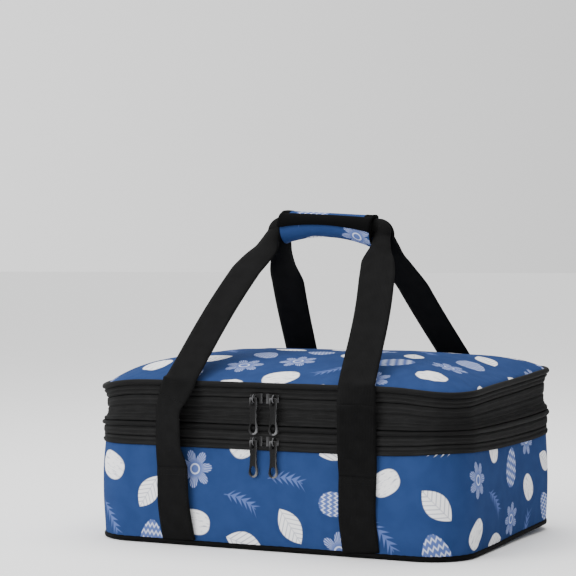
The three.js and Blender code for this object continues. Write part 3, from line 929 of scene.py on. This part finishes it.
def ribbonPiece(name, stations, material):
    # stations: centre, across, out, curl; the section is a thin strip that folds in as curl grows
    a = np.linspace(-1, 1, 13)
    half, width = strapLook["thick"] / 2, strapLook["width"]
    taper = np.where(np.abs(a) > 0.99, 0.45, 1.0) * half
    rows, run = [], [0.0]
    for k, (at, across, out, curl) in enumerate(stations):
        bend = max(curl, 0.001)
        r = width / 2 / bend
        flatX, flatY = r * np.sin(bend * a), -r * (1 - np.cos(bend * a)) * strapLook["fold"]
        nx, ny = np.sin(bend * a), np.cos(bend * a)
        outer = np.outer(flatX + nx * taper, across) + np.outer(flatY + ny * taper, out)
        inner = np.outer(flatX - nx * taper, across) + np.outer(flatY - ny * taper, out)
        rows.append(at + np.vstack([outer, inner[::-1]]))
        if k:
            run.append(run[-1] + float(np.linalg.norm(at - stations[k - 1][0])))
    edge = (a + 1) * width / 2
    around = np.concatenate([edge, edge[::-1], edge[:1]])
    uv = np.stack(np.meshgrid(run, around, indexing="ij"), -1)
    return gridPiece(name, np.array(rows), uv, material, closeCols=True, cap=True)


def curlFor(half):
    # how far the strip folds for its half width to come down to the one given
    bends = np.linspace(0.001, 4, 400)
    share = np.where(bends < math.pi / 2, np.sin(bends) / bends, 1 / bends)
    return float(np.interp(-2 * half / strapLook["width"], -share, bends))


def strapTurn(z):
    # the inner edge of the webbing lifts off the wall on its way up, and lies flat over the lid's edge
    return np.radians(np.interp(z, *strapLook["turn"]))


def strapReach(z):
    # distance of the strap's middle from the centre plane, with its outer edge on the bag
    tucked = 3.0 * math.exp(-(z - 4) / 2.5)  # under the base trim
    wall = strapLook["onWall"] + wallOut(min(z, strapLook["sewnTop"])) - tucked
    heights = (strapLook["sewnTop"], 104, strapLook["creaseZ"], strapLook["edgeZ"])
    edge = np.interp(z, heights, (wall, *strapLook["over"]))
    return edge + strapLook["width"] / 2 * math.sin(strapTurn(z))


def neckOf(side):
    x = side * strapLook["neck"][0] + handleLook["aside"]
    return np.array([x, strapLook["neck"][1], strapLook["neck"][2] + sag(x)])


def drift(z, back):
    return handleLook["aside"] * easeIn(z, *handleLook["backZ" if back else "frontZ"])


def strapX(side, z, back):
    # up the wall from a slanting foot, then leaning in to the grip from the crease on
    neck, start, soft = strapLook["neck"], strapLook["creaseZ"] - 10, 3.0
    onWall = np.interp(z, (5, strapLook["sewnTop"], 100), strapLook["x"])
    slope = (strapLook["x"][2] - neck[0]) / (neck[2] - start)
    lean = slope * soft * np.logaddexp(0, (z - start) / soft)
    foot = strapLook["slant"] * (1 - easeIn(z, 0, 50))
    return side * (onWall - lean) + drift(z, back) + foot


def orient(centres, faces, curls):
    stations = []
    last = len(centres) - 1
    for k, (at, face, curl) in enumerate(zip(centres, faces, curls)):
        along = centres[min(k + 1, last)] - centres[max(k - 1, 0)]
        along = along / np.linalg.norm(along)
        across = np.cross(along, face)
        across /= np.linalg.norm(across)
        stations.append((at, across, np.cross(across, along), curl))
    return stations


def wallCentre(side, z, back):
    turn = strapTurn(z)
    face = np.array([side * math.sin(turn), -math.cos(turn), 0])
    return np.array([strapX(side, z, back), -strapReach(z), z]), face


def leanY(z, neck):
    # taut from the lid's edge to the grip
    low = strapLook["edgeZ"]
    return -strapReach(low) + (strapReach(low) + neck[1]) * (z - low) / (neck[2] - low)


def leanPath(side, back):
    # from the crease over the lid's edge to the neck, and round into the grip
    neck, low = neckOf(side), strapLook["edgeZ"]
    full, narrow = strapLook["width"] / 2, strapLook["neckHalf"]
    outerDraw = drawLook["outerBack" if back else "outerFront"]
    innerDraw = drawLook["innerBackLeft" if back and side < 0 else "inner"]

    def halfAt(z, draw):
        return full + (narrow - full) * easeIn(z, neck[2] - draw[0], neck[2] - draw[1])

    centres, faces, curls = [], [], []
    crease = np.linspace(strapLook["creaseZ"], low, 12)
    for z in np.concatenate([crease, np.linspace(low + 3, neck[2], 60)]):
        at, face = wallCentre(side, z, back)
        if z > low:
            at[1] = leanY(z, neck)
            lean = np.array([1.0, 1.0 / (leanY(z + 0.5, neck) - leanY(z - 0.5, neck))])
            lean /= np.linalg.norm(lean)
            face = np.array([side * 0.05, -lean[1], lean[0]])
        # the outer edge draws in slowly, the inner one all at once under the grip
        outerHalf, innerHalf = halfAt(z, outerDraw), halfAt(z, innerDraw)
        at[0] += side * (outerHalf - innerHalf) / 2
        if z > low:
            bow = strapLook["backBow"] if back else side * strapLook["bow"]
            at[0] += bow * math.sin(math.pi * (z - low) / (neck[2] - low)) ** 1.5
        centres.append(at)
        faces.append(face)
        curls.append(curlFor((outerHalf + innerHalf) / 2))
    top, faceTop = centres[-1], faces[-1]
    insideX = side * strapLook["inGrip"][0] + handleLook["aside"]
    inside = np.array([insideX, strapLook["inGrip"][1], strapLook["gripZ"] - 1 + sag(insideX)])
    shoulder = strapLook["gripZ"] + handleLook["shoulders"][side > 0] + sag(top[0])
    corner = np.array([top[0] + side * 0.5, -8.0, shoulder])
    flat = np.array([0, -1.0, 0])
    for t in np.linspace(0, 1, 17)[1:]:
        centres.append((1 - t) ** 3 * top + 3 * t * (1 - t) * corner + t ** 3 * inside)
        faces.append(faceTop * (1 - t) + flat * t)
        curls.append(curls[-1])
    for share in np.linspace(1, 0, 9)[1:]:
        x = handleLook["aside"] + (insideX - handleLook["aside"]) * share
        centres.append(np.array([x, inside[1], strapLook["gripZ"] - 1 + sag(x)]))
        faces.append(flat)
        curls.append(curls[-1])
    for k in range(11, 16):  # eases the crease
        faces[k] = faces[k] * 0.5 + (faces[k - 1] + faces[k + 1]) * 0.25
    return centres, faces, curls


def strapStations(side, back=False):
    # one run from the floor to the grip, cut where the pieces part
    crease = strapLook["creaseZ"]
    low = np.linspace(5.5, strapLook["sewnTop"], 30)
    high = np.linspace(strapLook["sewnTop"], crease, 34)
    pairs = [wallCentre(side, z, back) for z in np.concatenate([low, high[1:-1]])]
    centres, faces, curls = leanPath(side, back)
    count = len(pairs)
    stations = orient([p[0] for p in pairs] + centres, [p[1] for p in pairs] + faces, [0.0] * count + curls)
    return stations[:len(low)], stations[len(low) - 1:count + 1], stations[count:]


def mirrored(stations):
    # the back straps are the front ones seen in a mirror along the middle of the bag
    back = np.array([1, -1, 1])
    return [(at * back, across * back, out * back, curl) for at, across, out, curl in stations]


def buildStraps():
    for face in ("front", "back"):
        halves = []
        for sideName, side in (("left", -1), ("right", 1)):
            parts = strapStations(side, face == "back")
            if face == "back":
                parts = [mirrored(part) for part in parts]
            halves.append(parts[2])
            piece = ribbonPiece(face + sideName.title() + "Sewn", parts[0], webCloth)
            keep(piece, "body", "black_cloth", f"{face}_{sideName}_strap_sewn")
            piece = ribbonPiece(face + sideName.title() + "Riser", parts[1], webCloth)
            keep(piece, None, "black_cloth", f"{face}_{sideName}_strap_riser")
            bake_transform(piece)
        downwards = [(at, -across, out, curl) for at, across, out, curl in halves[1][-2::-1]]
        loop = ribbonPiece(face + "Loop", halves[0] + downwards, webCloth)
        keep(loop, None, "black_cloth", f"{face}_carry_loop")
        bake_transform(loop)


buildStraps()
print("straps built")


gripLook = {
    "length": 105, "halfY": 17, "top": 337.2, "middle": 327.4, "bottom": 314.6, "droop": 5.2, "arch": 9.5,
    "pad": 3, "flap": 2.2, "bindFrom": 0, "bindTo": 62, "bindEnds": 9, "print": (95, 30), "crease": 0.35,
}


def gripRing(x, extra, a):
    # section of the wrap at x: flat along the top, its underside arched between drooping ends
    share = x / (gripLook["length"] / 2)
    middle = gripLook["middle"] - gripLook["droop"] * share ** 2
    above = gripLook["top"] - middle + extra
    below = middle - gripLook["bottom"] + gripLook["arch"] * share ** 2 + extra
    z = middle + np.where(np.sin(a) > 0, above, below) * np.sin(a)
    y = -(gripLook["halfY"] + extra) * np.cos(a)
    crease = gripLook["crease"] * np.sin(x * 0.5 + 3 * np.cos(a)) * np.exp(-((1 - abs(share)) * 8) ** 2)
    across = np.full(len(a), x + handleLook["aside"])
    return np.column_stack([across, y, z + crease + sag(across)])


def wrapPiece(name, layer, degrees, span, material):
    grow, thick = layer
    xs = np.linspace(span[0], span[1], max(6, int((span[1] - span[0]) / 2)))
    a = np.radians(np.linspace(degrees[0], degrees[1], max(8, int((degrees[1] - degrees[0]) / 2.5))))
    edge = np.sin(np.linspace(0, math.pi, len(a))) ** 0.25  # thin at the two long edges
    rows = []
    for x in xs:
        outer, inner = gripRing(x, grow + thick, a), gripRing(x, grow, a)
        middle = (outer + inner) / 2
        outer = middle + (outer - middle) * edge[:, None]
        inner = middle + (inner - middle) * edge[:, None]
        rows.append(np.vstack([outer, inner[::-1]]))
    around = gripLook["halfY"] * np.concatenate([a, a[::-1], a[:1]])
    uv = np.stack(np.meshgrid(xs + gripLook["print"][0], around + gripLook["print"][1], indexing="ij"), -1)
    return gridPiece(name, np.array(rows), uv, material, closeCols=True, cap=True)


def buildGrip():
    half, padThick, flapThick = gripLook["length"] / 2, gripLook["pad"], gripLook["flap"]
    low, high = gripLook["bindFrom"], gripLook["bindTo"]
    whole, short = (-half, half), (-half + 7, half - 7)
    pad = wrapPiece("gripPad", (-padThick, padThick), (95, 410), whole, clothPrint)
    keep(pad, "back_loop", "print_cloth", "grip_pad")
    flap = wrapPiece("gripFlap", (1.3, flapThick), (high - 4, 112), whole, clothPrint)
    keep(flap, None, "print_cloth", "grip_flap")
    keep(wrapPiece("gripSeam", (-0.6, 3.4), (107, 116), whole, clothPrint), "back_loop", "print_cloth")
    hinged = [flap]
    binding = (1.0, flapThick + 0.8)
    for name, degrees, span in (
        ("gripBinding", (low, high), (-half - 0.5, half + 0.5)),
        ("gripBindingLeft", (high - 3, 113), (-half - 0.5, -half + gripLook["bindEnds"])),
        ("gripBindingRight", (high - 3, 113), (half - gripLook["bindEnds"], half + 0.5)),
    ):
        hinged.append(keep(wrapPiece(name, binding, degrees, span, hookShadedBlack), None, "black_cloth"))
    for piece in hinged:  # the flap's sewn edge stays on the pad and the cloth folds in front of it; here their places are baked into their points as built shut
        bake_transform(piece)
    ends = (-padThick - 0.2, padThick + 0.4)
    for name, span in (
        ("gripEndLeft", (-half - 0.4, -half + 0.8)),
        ("gripEndRight", (half - 0.8, half + 0.4)),
    ):
        keep(wrapPiece(name, ends, (93, 412), span, hookShadedBlack), "back_loop", "black_cloth")
    for name, layer, body, node in (
        ("gripLoopStrip", (0.15, 0.4), "back_loop", "grip_loop_strip"),
        ("gripHookStrip", (0.65, 0.3), "flap", "grip_hook_strip"),
    ):
        keep(wrapPiece(name, layer, (8, 38), short, hookShadedBlack), body, "black_cloth", node)


buildGrip()
print("grip built")


# zip sliders and pulls are the solids with softened edges

hardwareLook = {"bevel": 0.0006, "segments": 4, "weld": 0.00002, "bevelFrom": 35, "sharpFrom": 40}


def softened(node, material):
    piece = addObject(node.title().replace("_", ""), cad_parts[node].data.copy())
    piece.data.materials.clear()
    piece.data.materials.append(material)
    weld = piece.modifiers.new("weld", "WELD")
    weld.merge_threshold = hardwareLook["weld"]
    edge = piece.modifiers.new("edge", "BEVEL")
    edge.width = hardwareLook["bevel"]
    edge.segments = hardwareLook["segments"]
    edge.limit_method = "ANGLE"
    edge.angle_limit = math.radians(hardwareLook["bevelFrom"])
    edge.use_clamp_overlap = True
    finished = bpy.data.meshes.new_from_object(piece.evaluated_get(bpy.context.evaluated_depsgraph_get()))
    piece.modifiers.clear()
    piece.data = finished
    finished.polygons.foreach_set("use_smooth", [True] * len(finished.polygons))
    finished.set_sharp_from_angle(angle=math.radians(hardwareLook["sharpFrom"]))
    return piece


def buildHardware():
    for zipName in ("upper", "lower"):
        for side in ("left", "right"):
            for kind in ("slider", "pull"):
                node = f"{zipName}_{side}_{kind}"
                keep(softened(node, paintBlack), node, "black_metal", node)


buildHardware()
print("sliders and pulls built")


# stitches and coil teeth are laid along paths with one node tree


def buildRunTree():
    tree = bpy.data.node_groups.new("layAlong", "GeometryNodeTree")
    sockets = {"Geometry": "Geometry", "Spacing": "Float", "Size": "Vector", "Material": "Material"}
    for name, kind in sockets.items():
        tree.interface.new_socket(name, in_out="INPUT", socket_type="NodeSocket" + kind)
    tree.interface.new_socket("Geometry", in_out="OUTPUT", socket_type="NodeSocketGeometry")
    start, end = tree.nodes.new("NodeGroupInput"), tree.nodes.new("NodeGroupOutput")
    spots = tree.nodes.new("GeometryNodeCurveToPoints")
    spots.mode = "LENGTH"
    bead = tree.nodes.new("GeometryNodeMeshUVSphere")
    bead.inputs["Segments"].default_value = 8
    bead.inputs["Rings"].default_value = 6
    bead.inputs["Radius"].default_value = 0.5
    lay = tree.nodes.new("GeometryNodeInstanceOnPoints")
    real = tree.nodes.new("GeometryNodeRealizeInstances")
    paint = tree.nodes.new("GeometryNodeSetMaterial")
    for source, output, target, entry in (
        (start, "Geometry", spots, "Curve"),
        (start, "Spacing", spots, "Length"),
        (spots, "Points", lay, "Points"),
        (bead, "Mesh", lay, "Instance"),
        (spots, "Rotation", lay, "Rotation"),
        (start, "Size", lay, "Scale"),
        (lay, "Instances", real, "Geometry"),
        (real, "Geometry", paint, "Geometry"),
        (start, "Material", paint, "Material"),
        (paint, "Geometry", end, "Geometry"),
    ):
        tree.links.new(source.outputs[output], target.inputs[entry])
    return tree


runTree = buildRunTree()


def layAlong(name, paths, spacing, size, material):
    curve = bpy.data.curves.new(name, "CURVE")
    curve.dimensions = "3D"
    curve.twist_mode = "Z_UP"
    for path in paths:
        spline = curve.splines.new("POLY")
        spline.points.add(len(path) - 1)
        spline.points.foreach_set("co", np.column_stack([np.array(path) * mm, np.ones(len(path))]).ravel())
    holder = addObject(name + "Path", curve)
    run = holder.modifiers.new("run", "NODES")
    run.node_group = runTree
    values = {"Spacing": spacing * mm, "Size": [v * mm for v in size], "Material": material}
    for item in runTree.interface.items_tree:
        if item.in_out == "INPUT" and item.name in values:
            run[item.identifier] = values[item.name]
    mesh = bpy.data.meshes.new_from_object(holder.evaluated_get(bpy.context.evaluated_depsgraph_get()))
    mesh.name = name
    piece = addObject(name, mesh)
    bpy.data.objects.remove(holder)
    mesh.polygons.foreach_set("use_smooth", [True] * len(mesh.polygons))
    return piece


stitchLook = {"spacing": 3.4, "size": (0.45, 0.45, 2.4), "fromEdge": 2.5, "proud": 0.1}
coilLook = {"spacing": 1.7, "size": (1.5, 2.3, 0.9), "lowerOut": -2.0, "upperOut": -1.2}


def outlinePath(out, z, closed=True):
    if closed:
        s = np.linspace(0, girth, 260)
    else:
        s = np.linspace(-zipEnd(), zipEnd(), 210)
    at, normal = planAt(s)
    return leant(np.column_stack([at + normal * (out - sunk(s, z))[:, None], np.full(len(s), z)]))


def buildStitches():
    back = bandLook["recess"]
    bodyPaths = [outlinePath(2.0, 103.4, False)]
    half = strapLook["width"] / 2 - stitchLook["fromEdge"]
    lift = strapLook["thick"] / 2 + stitchLook["proud"]
    for side in (-1, 1):
        sewn = strapStations(side)[0]
        for run in (sewn, mirrored(sewn)):
            for edge in (-half, half):
                bodyPaths.append([at + across * edge + out * lift for at, across, out, curl in run[4:-1]])
            for at, across, out, curl in (run[-2], run[-4]):
                bodyPaths.append([at + across * edge + out * lift for edge in (-half, half)])
    deckPaths = [outlinePath(-back + 0.95, z) for z in (134.6, 139)]
    deckPaths.append(outlinePath(-back + 1.25, 143.4, False))
    lidPaths = [outlinePath(1.0, 160.4, False)]
    for body, paths in (("body", bodyPaths), ("deck", deckPaths), ("lid", lidPaths)):
        laid = layAlong(body + "Stitches", paths, stitchLook["spacing"], stitchLook["size"], threadBlack)
        keep(laid, body, "black_cloth")
    lowerOut, upperOut = coilLook["lowerOut"], -back + coilLook["upperOut"]
    for name, out, z, body, node in (
        ("lowerCoilBody", lowerOut, 108.3, "body", "lower_zip_coil_lower"),
        ("lowerCoilDeck", lowerOut, 111.1, "body", "lower_zip_coil_upper"),
        ("upperCoilDeck", upperOut, 150.9, "deck", "upper_zip_coil_lower"),
        ("upperCoilLid", upperOut, 153.7, "lid", "upper_zip_coil_upper"),
    ):
        path = outlinePath(out, z, False)
        teeth = layAlong(name, [path], coilLook["spacing"], coilLook["size"], nylonBlack)
        keep(teeth, body, "coil", node)


buildStitches()
print("stitches and coils laid")


stageLook = {
    "reach": 40, "world": 1.95, "shade": 0.5, "aim": (0, 0, 0.12),
    "key": (30, (-1.2, -1.9, 1.3), 1.2), "top": (34, (0.1, 0.3, 2.1), 1.6),
}


def buildStage():
    reach = stageLook["reach"]
    floorMesh = bpy.data.meshes.new("floor")
    corners = [(x * reach, y * reach, 0) for x, y in ((-1, -1), (1, -1), (1, 1), (-1, 1))]
    floorMesh.from_pydata(corners, [], [(0, 1, 2, 3)])
    floorMesh.materials.append(plainMaterial("floorPaper"))
    addObject("floor", floorMesh)
    world = bpy.data.worlds.new("studio")
    world.use_nodes = True
    # the room is brighter on the left and in front than on the right
    tree = world.node_tree
    towards = tree.nodes.new("ShaderNodeTexCoord").outputs["Generated"]
    x, y = splitVector(tree, towards)
    aside = calc(tree, "MULTIPLY_ADD", y, 0.5, x)
    bright = ramp(tree, aside, -0.9, 1.0, stageLook["world"], stageLook["shade"])
    tree.nodes["Background"].inputs[0].default_value = (1, 1, 1, 1)
    put(tree, tree.nodes["Background"].inputs[1], bright)
    bpy.context.scene.world = world
    for name in ("key", "top"):
        power, at, size = stageLook[name]
        light = bpy.data.lights.new(name, "AREA")
        light.energy = power
        light.size = size
        lamp = addObject(name, light)
        lamp.location = at
        lamp.rotation_euler = (Vector(stageLook["aim"]) - Vector(at)).to_track_quat("-Z", "Y").to_euler()


cameraLook = {"at": (0.8126, -1.8161, 0.2895), "ahead": (-0.4272, 0.904, -0.01464), "lens": 116.5}


def buildCamera():
    lens = bpy.data.cameras.new("camera")
    lens.sensor_width = 36
    lens.lens = cameraLook["lens"]
    camera = addObject("camera", lens)
    camera.location = cameraLook["at"]
    camera.rotation_euler = Vector(cameraLook["ahead"]).to_track_quat("-Z", "Y").to_euler()
    bpy.context.scene.camera = camera


buildStage()
buildCamera()
print("stage and camera ready")
